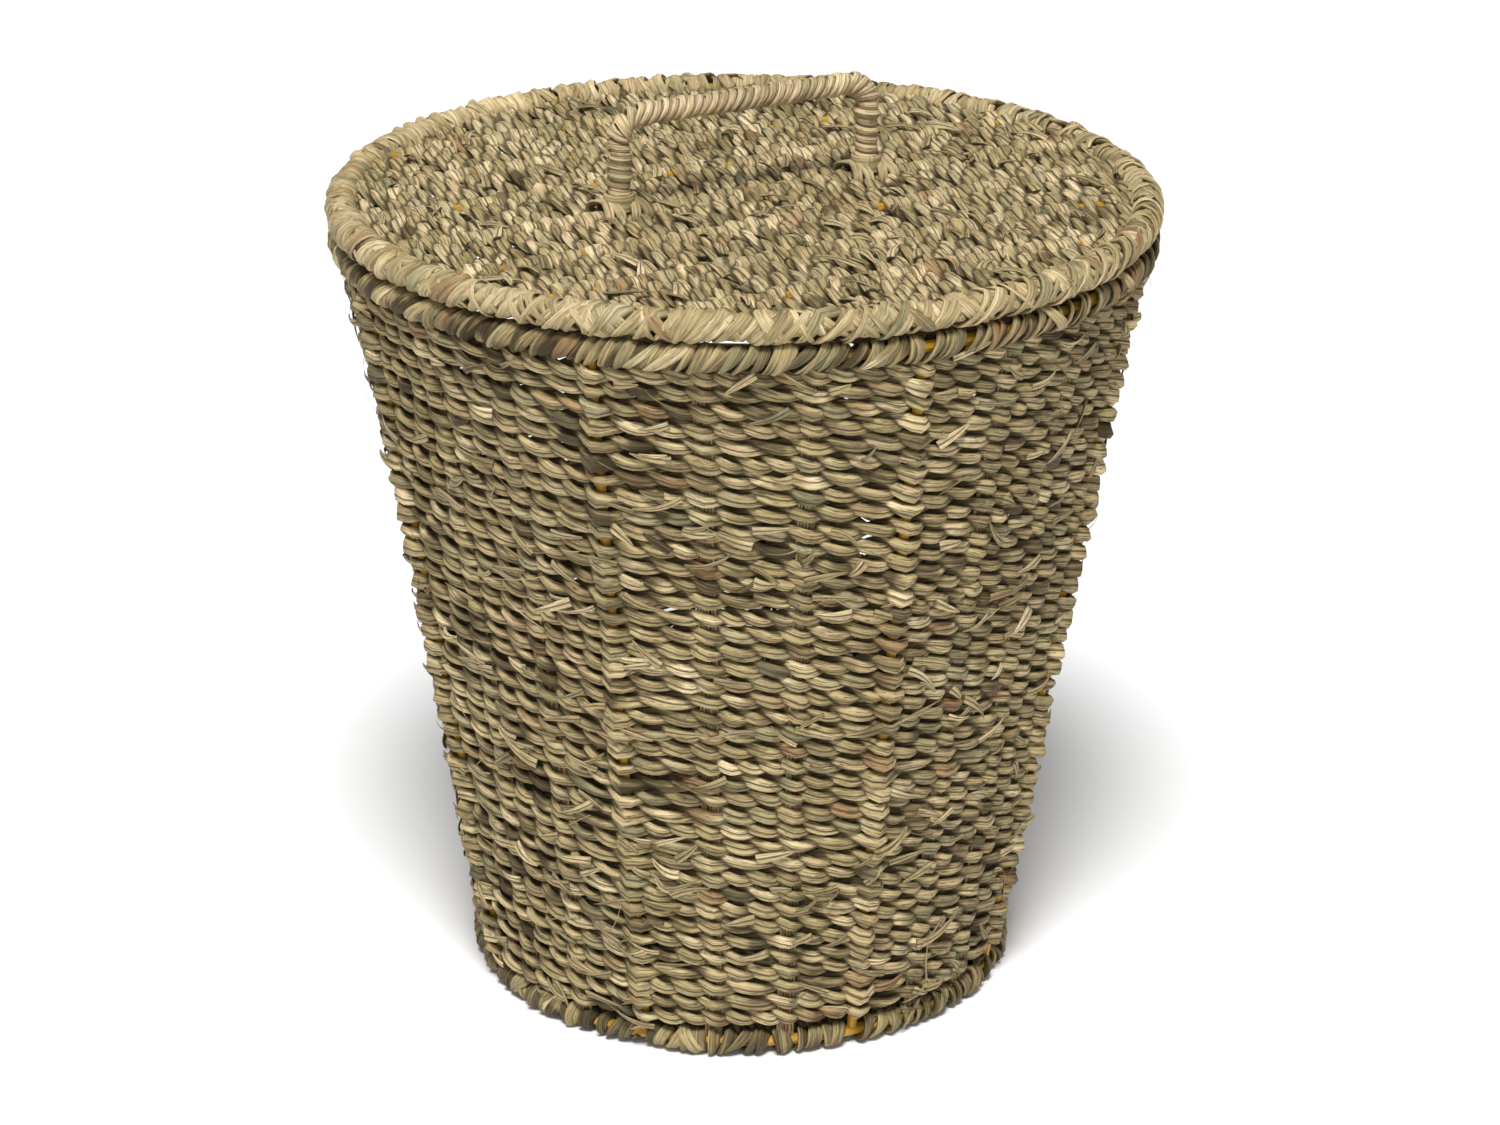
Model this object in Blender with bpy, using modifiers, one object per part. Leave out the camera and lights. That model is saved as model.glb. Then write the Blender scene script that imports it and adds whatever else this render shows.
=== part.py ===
"""Round lidded basket: a wire frame with twined seagrass rope on its wall, base and lid.

Units are metres and +Z is up. The origin is the middle of the footprint, on the floor,
and +X runs along the lid's handle.
"""

import math

import bmesh
import bpy
from mathutils import Matrix, Vector

# ---- driving sizes --------------------------------------------------------------------
TOP_RING_RADIUS = 0.177  # middle of the wire that stiffens the rim
BASE_RING_RADIUS = 0.1200  # middle of the wire around the base
BODY_HEIGHT = 0.3425  # base ring to top ring
RING_WIRE_RADIUS = 0.0025
WEAVE_THICKNESS = 0.009  # one row of two-ply rope, through the wall, base or lid

STAKE_COUNT = 8
STAKE_RADIUS = 0.00225
STAKE_TURN = math.radians(-5.0)  # the first stake, counted from +X
CORDS_PER_GAP = 2  # plain seagrass warps between neighbouring stakes
WARP_CORD_RADIUS = 0.0022

RIM_WRAP_RADIUS = 0.0064
BASE_WRAP_RADIUS = 0.0061
LID_WRAP_RADIUS = 0.0069

LID_WIRE_COUNT = 7
BASE_WIRE_COUNT = 4
CROSS_WIRE_RADIUS = 0.00225
LID_EDGE_GAP = 0.0480  # from the lid's ring in to its outermost straight wire
BASE_EDGE_GAP = 0.0555  # the same, at the base

HANDLE_SPAN = 0.1245  # between the middles of the two feet
HANDLE_RISE = 0.0447  # middle of the bar above the middle of the lid
HANDLE_BEND = 0.010  # corner radius, at the middle of the wire
HANDLE_WIRE_RADIUS = 0.00225
HANDLE_WRAP_RADIUS = 0.0052
LASHING_RADIUS = 0.0078
LASHING_HEIGHT = 0.0050

CLEARANCE = 0.0003  # between any two pieces that touch

# ---- how finely round shapes are cut --------------------------------------------------
RING_STEPS = 48
WRAP_SIDES = 12
WIRE_SIDES = 8
BEND_STEPS = 4

# ---- sizes that follow ----------------------------------------------------------------
LID_RING_RADIUS = TOP_RING_RADIUS  # the lid lies wrap on wrap
BASE_LEVEL = BASE_WRAP_RADIUS * math.cos(math.pi / WRAP_SIDES)  # the wrap's flat underside is at 0
TOP_LEVEL = BASE_LEVEL + BODY_HEIGHT
LID_LEVEL = TOP_LEVEL + RIM_WRAP_RADIUS + LID_WRAP_RADIUS + CLEARANCE
WALL_LEAN = math.atan2(TOP_RING_RADIUS - BASE_RING_RADIUS, BODY_HEIGHT)
WALL_SLANT = math.hypot(TOP_RING_RADIUS - BASE_RING_RADIUS, BODY_HEIGHT)
RING_HOLLOW = RING_WIRE_RADIUS + CLEARANCE
RING_FLAT_SAG = LID_RING_RADIUS * (1 - math.cos(math.pi / RING_STEPS))
WARP_COUNT = STAKE_COUNT * (CORDS_PER_GAP + 1)
LID_WIRE_PITCH = 2 * (LID_RING_RADIUS - LID_EDGE_GAP) / (LID_WIRE_COUNT - 1)
BASE_WIRE_PITCH = 2 * (BASE_RING_RADIUS - BASE_EDGE_GAP) / (BASE_WIRE_COUNT - 1)
HANDLE_LINE = LID_WIRE_PITCH * ((LID_WIRE_COUNT + 1) % 2) / 2  # over the middle wire, or the next one
HALF_WEAVE = WEAVE_THICKNESS / 2

LACQUER = ((0.72, 0.46, 0.08, 1), 0.35, 0.3)
ROPE = ((0.38, 0.32, 0.20, 1), 0.85, 0.0)
WRAP = ((0.42, 0.35, 0.22, 1), 0.8, 0.0)
LEAF = ((0.55, 0.44, 0.29, 1), 0.7, 0.0)


def clear_scene():
    """Remove whatever the file opened with."""
    for obj in list(bpy.data.objects):
        bpy.data.objects.remove(obj, do_unlink=True)


def new_collection(name):
    collection = bpy.data.collections.new(name)
    bpy.context.scene.collection.children.link(collection)
    return collection


def new_empty(name, height, collection):
    """An empty on the lid's line of travel, for a group of pieces to hang on."""
    empty = bpy.data.objects.new(name, None)
    empty.location = (0, 0, height)
    collection.objects.link(empty)
    return empty


def new_material(name, look):
    """A plain Principled material from (colour, roughness, metallic)."""
    colour, roughness, metallic = look
    material = bpy.data.materials.new(name)
    material.use_nodes = True
    shader = material.node_tree.nodes["Principled BSDF"]
    shader.inputs["Base Color"].default_value = colour
    shader.inputs["Roughness"].default_value = roughness
    shader.inputs["Metallic"].default_value = metallic
    return material


def add_object(name, mesh, collection, parent=None):
    obj = bpy.data.objects.new(name, mesh)
    collection.objects.link(obj)
    obj.parent = parent
    return obj


def mesh_of(name, bm, look=None):
    """Turn a bmesh into a smooth-shaded mesh, with its material if it is a part."""
    mesh = bpy.data.meshes.new(name)
    bm.to_mesh(mesh)
    bm.free()
    mesh.shade_smooth()
    mesh.set_sharp_from_angle(angle=math.radians(40))
    if look:
        mesh.materials.append(new_material(name, look))
    return mesh


def add_cylinder(bm, radius, length, matrix, sides=WIRE_SIDES):
    bmesh.ops.create_cone(
        bm, cap_ends=True, segments=sides, radius1=radius, radius2=radius, depth=length, matrix=matrix
    )


def rod_mesh(name, radius, length, look):
    """A straight rod along its own Z, with its middle at the origin."""
    bm = bmesh.new()
    add_cylinder(bm, radius, length, Matrix())
    return mesh_of(name, bm, look)


def round_outline(ring_radius, radius, sides, phase=0.0, hollow=False):
    """Points of a wire's or wrap's section; a hollow one runs the other way round."""
    step = math.tau / sides * (1 if hollow else -1)
    angles = [phase + index * step for index in range(sides)]
    return [(ring_radius + radius * math.cos(angle), radius * math.sin(angle)) for angle in angles]


def turned_part(name, outlines, look, collection, parent, location=(0, 0, 0), steps=RING_STEPS):
    """A ring turned about Z from closed outlines of (distance from the axis, height)."""
    bm = bmesh.new()
    for outline in outlines:
        verts = [bm.verts.new((distance, 0, height)) for distance, height in outline]
        for start, end in zip(verts, verts[1:] + verts[:1]):
            bm.edges.new((start, end))
    obj = add_object(name, mesh_of(name, bm, look), collection, parent)
    obj.location = location
    screw = obj.modifiers.new("turn", "SCREW")
    screw.steps = steps
    screw.render_steps = steps
    screw.use_merge_vertices = True
    screw.merge_threshold = 0.00001
    screw.use_smooth_shade = True
    return obj


def ring_part(name, ring_radius, level, collection, parent):
    """One hoop of frame wire."""
    outline = round_outline(ring_radius, RING_WIRE_RADIUS, WIRE_SIDES)
    return turned_part(name, [outline], LACQUER, collection, parent, (0, 0, level))


def wrap_part(name, ring_radius, radius, level, collection, parent):
    """The lashing around a hoop: a tube around the wire, with a flat facet underneath."""
    skin = round_outline(ring_radius, radius, WRAP_SIDES, phase=math.pi / WRAP_SIDES)
    bore = round_outline(ring_radius, RING_HOLLOW, WIRE_SIDES, hollow=True)
    return turned_part(name, [skin, bore], WRAP, collection, parent, (0, 0, level))


def cut(obj, cutter):
    boolean = obj.modifiers.new("cut " + cutter.name, "BOOLEAN")
    boolean.operation = "DIFFERENCE"
    boolean.solver = "EXACT"
    boolean.object = cutter


def add_cutter(name, bm, collection, parent=None):
    cutter = add_object(name, mesh_of(name, bm), collection, parent)
    cutter.hide_render = True
    cutter.display_type = "WIRE"
    return cutter


# ---- the leaning warps of the wall ----------------------------------------------------
def warp_matrix(angle):
    """Middle of the slant line at this angle, with Z along the slant."""
    middle_radius = (TOP_RING_RADIUS + BASE_RING_RADIUS) / 2
    middle = Vector((middle_radius, 0, (TOP_LEVEL + BASE_LEVEL) / 2))
    return Matrix.Rotation(angle, 4, "Z") @ Matrix.Translation(middle) @ Matrix.Rotation(WALL_LEAN, 4, "Y")


def is_stake(index):
    return index % (CORDS_PER_GAP + 1) == 0


def warp_angle(index):
    return STAKE_TURN + math.tau * index / WARP_COUNT


def build_warps(collection, parent):
    """Wire stakes with grass cords between them, each ending just short of both hoops."""
    length = WALL_SLANT - 2 * RING_HOLLOW
    stake_mesh = rod_mesh("side_stake", STAKE_RADIUS, length, LACQUER)
    cord_mesh = rod_mesh("warp_cord", WARP_CORD_RADIUS, length, ROPE)
    stakes = 0
    cords = 0
    for index in range(WARP_COUNT):
        if is_stake(index):
            stakes += 1
            warp = add_object(f"side_stake_{stakes}", stake_mesh, collection, parent)
        else:
            cords += 1
            warp = add_object(f"warp_cord_{cords:02d}", cord_mesh, collection, parent)
        warp.matrix_basis = warp_matrix(warp_angle(index))


def warp_tunnels(collection):
    """One cutter with a leaning tunnel for each warp, from hoop to hoop."""
    bm = bmesh.new()
    for index in range(WARP_COUNT):
        radius = (STAKE_RADIUS if is_stake(index) else WARP_CORD_RADIUS) + CLEARANCE
        add_cylinder(bm, radius, WALL_SLANT, warp_matrix(warp_angle(index)))
    return add_cutter("warp_tunnels", bm, collection)


def build_wall(collection, parent):
    """The woven wall: a leaning shell that ends square, just clear of both wraps."""
    along = Vector((math.sin(WALL_LEAN), math.cos(WALL_LEAN)))
    across = Vector((math.cos(WALL_LEAN), -math.sin(WALL_LEAN)))
    low = Vector((BASE_RING_RADIUS, 0)) + along * (BASE_WRAP_RADIUS + CLEARANCE)
    high = Vector((TOP_RING_RADIUS, BODY_HEIGHT)) - along * (RIM_WRAP_RADIUS + CLEARANCE)
    corners = [
        high + across * HALF_WEAVE,
        low + across * HALF_WEAVE,
        low - across * HALF_WEAVE,
        high - across * HALF_WEAVE,
    ]
    outline = [tuple(corner) for corner in corners]
    return turned_part("wall_weave", [outline], ROPE, collection, parent, (0, 0, BASE_LEVEL))


# ---- flat woven discs with straight wires through them --------------------------------
def wire_offsets(count, pitch):
    return [pitch * (index - (count - 1) / 2) for index in range(count)]


def wire_matrix(offset):
    """A rod at this distance from the middle line, lying along X."""
    return Matrix.Translation((0, offset, 0)) @ Matrix.Rotation(math.pi / 2, 4, "Y")


def build_cross_wires(name, ring_radius, offsets, collection, parent):
    """Straight wires whose ends stop just short of the hoop around them."""
    reach = ring_radius - RING_HOLLOW - RING_FLAT_SAG
    for number, offset in enumerate(offsets, 1):
        edge = abs(offset) + CROSS_WIRE_RADIUS
        length = 2 * math.sqrt(reach**2 - edge**2)
        node = f"{name}_{number}"
        wire = add_object(node, rod_mesh(node, CROSS_WIRE_RADIUS, length, LACQUER), collection, parent)
        wire.matrix_basis = wire_matrix(offset)


def cross_tunnels(name, ring_radius, offsets, collection, parent):
    """One cutter with a tunnel for each straight wire, from hoop to hoop."""
    bm = bmesh.new()
    for offset in offsets:
        length = 2 * math.sqrt((ring_radius - CLEARANCE) ** 2 - offset**2)
        add_cylinder(bm, CROSS_WIRE_RADIUS + CLEARANCE, length, wire_matrix(offset))
    return add_cutter(name, bm, collection, parent)


def build_disc(name, ring_radius, wrap_radius, collection, parent):
    """A woven disc that stops just clear of the wrap around it."""
    bm = bmesh.new()
    add_cylinder(bm, ring_radius - wrap_radius - CLEARANCE, WEAVE_THICKNESS, Matrix(), RING_STEPS)
    return add_object(name, mesh_of(name, bm, ROPE), collection, parent)


# ---- the handle -----------------------------------------------------------------------
def handle_path(foot):
    """The staple's route from one foot to the other, starting at height foot."""
    half = HANDLE_SPAN / 2
    bend = [math.pi / 2 * index / BEND_STEPS for index in range(BEND_STEPS + 1)]
    left = [(-half, foot)]
    for angle in bend:
        run = half - HANDLE_BEND + HANDLE_BEND * math.cos(angle)
        left.append((-run, HANDLE_RISE - HANDLE_BEND + HANDLE_BEND * math.sin(angle)))
    right = [(-run, height) for run, height in reversed(left)]
    return [(run, HANDLE_LINE, height) for run, height in left + right]


def swept_mesh(name, points, radius, look=None):
    """A closed rod along a route, as a mesh, so that it can be cut or can cut."""
    curve = bpy.data.curves.new(name, "CURVE")
    curve.dimensions = "3D"
    curve.bevel_depth = radius
    curve.bevel_resolution = 2
    curve.use_fill_caps = True
    spline = curve.splines.new("POLY")
    spline.points.add(len(points) - 1)
    for spline_point, point in zip(spline.points, points):
        spline_point.co = (*point, 1)
    guide = bpy.data.objects.new(name, curve)
    bpy.context.scene.collection.objects.link(guide)
    evaluated = guide.evaluated_get(bpy.context.evaluated_depsgraph_get())
    swept = bpy.data.meshes.new_from_object(evaluated)
    bm = bmesh.new()
    bm.from_mesh(swept)
    bmesh.ops.remove_doubles(bm, verts=bm.verts, dist=0.00001)
    bpy.data.objects.remove(guide)
    bpy.data.meshes.remove(swept)
    return mesh_of(name, bm, look)


def build_handle(collection, cutters, parent, lid_weave):
    """The staple of wire, its leaf wrap, and the lashing at each foot."""
    wire_foot = CROSS_WIRE_RADIUS + CLEARANCE
    wire_mesh = swept_mesh("handle_wire", handle_path(wire_foot), HANDLE_WIRE_RADIUS, LACQUER)
    add_object("handle_wire", wire_mesh, collection, parent)

    bore = HANDLE_WIRE_RADIUS + CLEARANCE
    bore_mesh = swept_mesh("handle_bore", handle_path(0.0), bore)
    handle_bore = add_object("handle_bore", bore_mesh, cutters, parent)
    handle_bore.hide_render = True
    handle_bore.display_type = "WIRE"
    cut(lid_weave, handle_bore)

    lashing_foot = HALF_WEAVE + CLEARANCE
    wrap_foot = lashing_foot + LASHING_HEIGHT + CLEARANCE
    wrap_mesh = swept_mesh("handle_wrap", handle_path(wrap_foot), HANDLE_WRAP_RADIUS, LEAF)
    cut(add_object("handle_wrap", wrap_mesh, collection, parent), handle_bore)

    outline = [
        (LASHING_RADIUS, lashing_foot + LASHING_HEIGHT),
        (LASHING_RADIUS, lashing_foot),
        (bore, lashing_foot),
        (bore, lashing_foot + LASHING_HEIGHT),
    ]
    for number, side in enumerate((-1, 1), 1):
        foot = (side * HANDLE_SPAN / 2, HANDLE_LINE, 0)
        turned_part(f"handle_lashing_{number}", [outline], WRAP, collection, parent, foot, steps=16)


# ---- the two halves of the basket -----------------------------------------------------
def build_body(collection, cutters):
    body = new_empty("basket", 0.0, collection)
    base = new_empty("base", BASE_LEVEL, collection)
    base.parent = body
    ring_part("base_ring", BASE_RING_RADIUS, BASE_LEVEL, collection, body)
    ring_part("top_ring", TOP_RING_RADIUS, TOP_LEVEL, collection, body)
    build_warps(collection, body)
    offsets = wire_offsets(BASE_WIRE_COUNT, BASE_WIRE_PITCH)
    build_cross_wires("base_wire", BASE_RING_RADIUS, offsets, collection, base)

    sides = warp_tunnels(cutters)
    floor = cross_tunnels("base_tunnels", BASE_RING_RADIUS, offsets, cutters, base)
    cut(build_wall(collection, body), sides)
    cut(wrap_part("rim_wrap", TOP_RING_RADIUS, RIM_WRAP_RADIUS, TOP_LEVEL, collection, body), sides)
    cut(build_disc("base_weave", BASE_RING_RADIUS, BASE_WRAP_RADIUS, collection, base), floor)
    base_wrap = wrap_part("base_wrap", BASE_RING_RADIUS, BASE_WRAP_RADIUS, BASE_LEVEL, collection, body)
    cut(base_wrap, sides)
    cut(base_wrap, floor)


def build_lid(collection, cutters):
    lid = new_empty("lid", LID_LEVEL, collection)
    offsets = wire_offsets(LID_WIRE_COUNT, LID_WIRE_PITCH)
    ring_part("lid_ring", LID_RING_RADIUS, 0.0, collection, lid)
    build_cross_wires("lid_wire", LID_RING_RADIUS, offsets, collection, lid)
    tunnels = cross_tunnels("lid_tunnels", LID_RING_RADIUS, offsets, cutters, lid)
    lid_weave = build_disc("lid_weave", LID_RING_RADIUS, LID_WRAP_RADIUS, collection, lid)
    cut(lid_weave, tunnels)
    cut(wrap_part("lid_wrap", LID_RING_RADIUS, LID_WRAP_RADIUS, 0.0, collection, lid), tunnels)
    build_handle(collection, cutters, lid, lid_weave)


def main():
    clear_scene()
    parts = new_collection("lidded_wicker_basket")
    cutters = new_collection("cutters")
    build_body(parts, cutters)
    build_lid(parts, cutters)


main()
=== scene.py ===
"""Looks of a lidded basket of twined seagrass rope on a lacquered wire frame."""

import math

import bpy
import numpy as np
from mathutils import Matrix, Vector


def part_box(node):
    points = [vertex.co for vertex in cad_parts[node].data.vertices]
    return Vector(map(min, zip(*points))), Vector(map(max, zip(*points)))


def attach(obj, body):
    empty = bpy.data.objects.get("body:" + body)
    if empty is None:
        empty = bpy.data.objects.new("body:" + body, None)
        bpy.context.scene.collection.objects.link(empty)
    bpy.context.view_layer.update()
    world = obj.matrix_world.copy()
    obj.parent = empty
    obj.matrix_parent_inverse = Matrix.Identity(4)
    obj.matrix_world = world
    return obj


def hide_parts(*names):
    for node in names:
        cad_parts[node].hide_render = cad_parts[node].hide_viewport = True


bl_info = {
    "name": "Lidded Wicker Basket",
    "version": (1, 0, 0),
    "blender": (4, 5, 0),
    "location": "View3D > Sidebar > Basket",
    "description": "Twines, lashes and finishes a lidded seagrass basket around its wire frame",
    "category": "Object",
}

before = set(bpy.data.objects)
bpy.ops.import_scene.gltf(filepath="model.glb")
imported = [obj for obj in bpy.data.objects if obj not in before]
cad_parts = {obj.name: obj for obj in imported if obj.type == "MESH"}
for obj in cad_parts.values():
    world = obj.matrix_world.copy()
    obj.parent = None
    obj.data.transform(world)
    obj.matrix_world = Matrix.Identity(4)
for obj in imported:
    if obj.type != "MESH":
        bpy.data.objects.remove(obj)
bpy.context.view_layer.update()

# ---- how finely things are drawn ----
POINTS_PER_HALF_TURN = 5
POINTS_PER_COIL = 14
ROWS_PER_PIECE = 8

# ---- habits of the weaver that are not worth a slider ----
TWIST_EASE = 0.12  # how much tighter the rope turns next to a warp
GRIP_LENGTH = 0.0042  # how far along the row a warp pushes the plies apart
# How each ply lies in its rope: how far in front of or behind the rope's middle, how far to
# either side of it, how much it spreads where it passes a wire, all in half thicknesses of
# the ply, and how pale it is.
WALL_LAY = (0.80, 0.40, 0.30, 0.45)
# The disc's plies get a paler tint than the wall's: painted light on the lid's top. The base's rows share
# it.
DISC_LAY = (0.36, 0.27, 0.36, 0.61)
DISC_PARTING = 0.25  # how far a disc's plies part at a wire, in half thicknesses of the wire
COVERED_WIRE = 0.84  # share of the gaps between rows where leaf hides the wire
FLOOR_ROOM = 0.0027  # lowest middle line of a lashing, so that its leaf stays off the floor
FLAT_PANELS = 0.55  # how far the wall is pulled flat between its stakes, 0 round, 1 straight
TAU = math.tau

# How uneven the work is: each pair is how far something strays, in metres, radians or as a
# share, and the length over which that changes.
TURN_STRAY = (0.5, 0.03)
GRIP_STRAY = (0.28, 0.02)
ROLL_STRAY = (0.7, 0.026)
BULK_STRAYS = ((0.13, 0.045), (0.10, 0.010))
WALL_RISE_STRAYS = ((0.0007, 0.09), (0.0004, 0.025))
WALL_DEPTH_STRAY = (0.0006, 0.03)
DISC_SIDE_STRAYS = ((0.0009, 0.05), (0.0006, 0.018))
DISC_DEPTH_STRAY = (0.0008, 0.04)
CORD_STRAY = (0.0003, 0.02)
COIL_STRAY = (0.0004, 0.3)  # the length here is in coils
WALL_COUNT_STRAY = 0.6  # half turns more or fewer between two warps
DISC_COUNT_STRAY = 0.9


def cross_section(*values):
    """A strand's section: how many corners, which are creased, how deep, and how thick it is."""
    return dict(zip(("Sides", "Crease Every", "Crease Depth", "Flatness"), values))


LASHING_FLATNESS = 0.42
HANDLE_FLATNESS = 0.6
PLY_SECTION = cross_section(8, 4, 0.20, 0.78)
CORD_SECTION = cross_section(6, 2, 0.2, 1.0)
LASHING_SECTION = cross_section(8, 8, 0.14, LASHING_FLATNESS)
HANDLE_SECTION = cross_section(8, 8, 0.0, HANDLE_FLATNESS)
FOOT_SECTION = cross_section(8, 4, 0.2, HANDLE_FLATNESS)
LOOSE_SECTION = cross_section(6, 3, 0.1, 0.3)

# Each lashing: its stray stitches, how pale it is, and its layers of coils. Its paleness is
# painted light and shade: the base's lashing is darkened as painted shade low down, the rim's
# as the lid's painted shadow over it, and the lid's is lighter as painted light on top. A layer
# has the way that it climbs, how far its coils lean, how far apart they are, and how far it is lifted.
LASHINGS = {
    "base_lashing": (14, 0.13, ((1, 0.0002, 0.95, 0.0),)),
    "rim_lashing": (30, 0.19, ((1, 0.0026, 0.82, 0.0),)),
    "lid_lashing": (80, 0.58, ((-1, -0.0030, 1.45, -0.0006), (1, 0.0036, 1.45, 0.0004))),
}
FOOT_GAP = 0.0030  # how far short of a stake the base's lashing stops

WALL_SEED = 100
CORD_SEED = 7
LID_SEED = 21
BASE_SEED = 33
LASHING_SEED = 50
HANDLE_SEED = 70
FOOT_SEED = 71

HANDLE_LEAF = 0.0028  # half width of the leaf wound round the handle
HANDLE_LEAN = 0.0024  # how far one of its coils leans along the bar
ROUTE_STEP = 0.0003  # between two points of the handle's middle line
FOOT_RING = 0.0058  # from the middle of a leg to the leaf ringed round it
FOOT_LEAF = 0.0024  # half width of the leaf at the handle's feet
FOOT_ARCH = (0.0, 0.0095, 0.0050)  # half width and height of a loop over the lid's wire
PADDING = 0.0021  # half thickness of the leaf bundle inside the rim
SLACK_STITCH = 0.0009  # how far a stray stitch stands out from the coils under it

TIP_LENGTHS, TIP_HALF_WIDTH = (0.008, 0.021), 0.0021
FIBRE_LENGTHS, FIBRE_HALF_WIDTH = (0.012, 0.034), 0.0004
WALL_TIPS, WALL_FIBRES = 640, 90
LID_TIPS, LID_FIBRES = 150, 16

# Each leaf: its middle tone, how much its fibres show, how dark its painted fold shade and fibre lines
# are, and its slot.
LEAVES = {
    "seagrass rope": ("straw", 0.62, 0.85, "seagrass_rope"),
    # the lid's copy of the wall's rope, alike in every value
    "seagrass rope, sunned": ("straw", 0.62, 0.85, "seagrass_rope"),
    "seagrass lashing": ("straw", 0.8, 0.35, "seagrass_wrap"),
    "broad tan leaf": ("tan", 0.8, 0.6, "handle_leaf"),
}
FIBRES_ACROSS = 3.2
FIBRES_ALONG = 45.0  # in each metre
WORN_LACQUER = 0.55  # how much of its brightness thin lacquer keeps
BARE_WIRE = (0.12, 0.07, 0.03, 1)


# ---- sizes and colours ----
def length(name, default, description):
    return bpy.props.FloatProperty(
        name=name, description=description, default=default, min=0.0, unit="LENGTH", precision=5
    )


def colour(name, default, description):
    return bpy.props.FloatVectorProperty(
        name=name, description=description, default=default, size=3, min=0.0, max=1.0, subtype="COLOR"
    )


class BasketSizes(bpy.types.PropertyGroup):
    """Sizes of the rope, the lashings and the loose ends."""

    ply: length("Ply", 0.00295, "Half the thickness of one ply of the wall's rope")
    lid_ply: length("Lid ply", 0.00312, "Half the thickness of one ply of the lid's rope")
    half_turn: length("Half turn", 0.0128, "Length of the wall's rope in which the plies change places")
    lid_half_turn: length("Lid half turn", 0.0125, "The same in the lid's and base's rope")
    wall_pitch: length("Wall row spacing", 0.00837, "From one row of the wall to the next, up the slant")
    lid_pitch: length("Lid row spacing", 0.0096, "From one row of the lid or base to the next")
    coil_pitch: length("Coil spacing", 0.0058, "From one coil of a lashing to the next")
    coil_width: length("Coil half width", 0.0038, "Half the width of the leaf in a lashing")
    cord: length("Warp cord", 0.0014, "Half the thickness of one thin cord of a warp")
    handle_pitch: length("Handle coil spacing", 0.0041, "From one coil of the handle's wrap to the next")
    handle_bend: length("Handle bend", 0.010, "Radius of the handle's corners, at the middle of the wire")


class BasketColours(bpy.types.PropertyGroup):
    """Colours of the leaf and of the lacquer."""

    pale: colour("Pale leaf", (0.80, 0.635, 0.37), "The driest, brightest leaf")
    straw: colour("Straw", (0.43, 0.33, 0.155), "Most of the leaf")
    # the dark leaf is also the colour of the painted shade in folds and between strands
    shade: colour("Dark leaf", (0.050, 0.032, 0.009), "Folds and old leaf")
    rust: colour("Rusty leaf", (0.30, 0.155, 0.065), "The odd reddish leaf")
    green: colour("Green leaf", (0.27, 0.25, 0.13), "Leaf that dried green")
    tan: colour("Handle leaf", (0.56, 0.42, 0.24), "The broad leaf on the handle")
    lacquer: colour("Lacquer", (0.53, 0.28, 0.018), "The yellow coat on the frame wire")


# ---- what the frame says ----
def middle(node):
    low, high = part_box(node)
    return (low + high) / 2


def half_height(node):
    low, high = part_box(node)
    return (high.z - low.z) / 2


class Hoop:
    """A hoop of frame wire and the room that the wrap around it may take."""

    def __init__(self, ring, wrap):
        low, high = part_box(ring)
        self.wire = half_height(ring)
        self.level = (high.z + low.z) / 2
        self.radius = (high.x - low.x) / 2 - self.wire
        self.reach = half_height(wrap)


BASE_HOOP = Hoop("base_ring", "base_wrap")
TOP_HOOP = Hoop("top_ring", "rim_wrap")
LID_HOOP = Hoop("lid_ring", "lid_wrap")


def nodes_named(start):
    return sorted(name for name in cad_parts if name.startswith(start))


def angle_of(node):
    """Where a node stands round the upright axis."""
    place = middle(node)
    return math.atan2(place.y, place.x)


def warps_round_wall(sizes):
    """The angle of each stake and warp cord, and how far the plies part there, in order."""
    found = []
    for start, room in (("side_stake", half_height("lid_wire_1")), ("warp_cord", sizes.cord / 2)):
        found += [(angle_of(name) % TAU, room) for name in nodes_named(start)]
    angles, rooms = zip(*sorted(found))
    return np.array(angles), rooms


def wire_lines(start):
    """Distances of a disc's straight wires from its middle line."""
    return np.sort([middle(name).y for name in nodes_named(start)])


# ---- chance, always from a seed ----
def wander(run, period, rng):
    """A smooth wandering value from -1 to 1 that changes over about one period of run."""
    place = run / period + rng.uniform(0, 1)
    cell = np.floor(place).astype(int)
    cell -= cell.min()
    posts = rng.uniform(-1, 1, cell.max() + 2)
    blend = place - np.floor(place)
    blend = blend * blend * (3 - 2 * blend)
    return posts[cell] * (1 - blend) + posts[cell + 1] * blend


def stray(run, habits, rng):
    """What one or more of the habits above add up to along a run."""
    return sum(amount * wander(run, period, rng) for amount, period in habits)


def patches(run, period, rng, typical=0.5, spread=0.22):
    """A value from 0 to 1 that stays put for about one period, then moves to the next."""
    place = run / period + rng.uniform(0, 1)
    cell = np.floor(place).astype(int)
    cell -= cell.min()
    posts = np.clip(rng.normal(typical, spread, cell.max() + 2), 0, 1)
    blend = np.clip((place - np.floor(place) - 0.8) / 0.2, 0, 1)
    return posts[cell] * (1 - blend) + posts[cell + 1] * blend


# ---- strands: middle lines that a node tree turns into leaf ----
def unit(vectors):
    return vectors / np.maximum(np.linalg.norm(vectors, axis=1, keepdims=True), 1e-12)


def ring_points(radius, angle, level):
    """Points, or ways, at a radius and an angle round the upright axis."""
    level = np.broadcast_to(level, angle.shape)
    return np.stack([radius * np.cos(angle), radius * np.sin(angle), level], axis=1)


def distance_along(points):
    steps = np.linalg.norm(np.diff(points, axis=0), axis=1)
    return np.concatenate([[0.0], np.cumsum(steps)])


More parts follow.
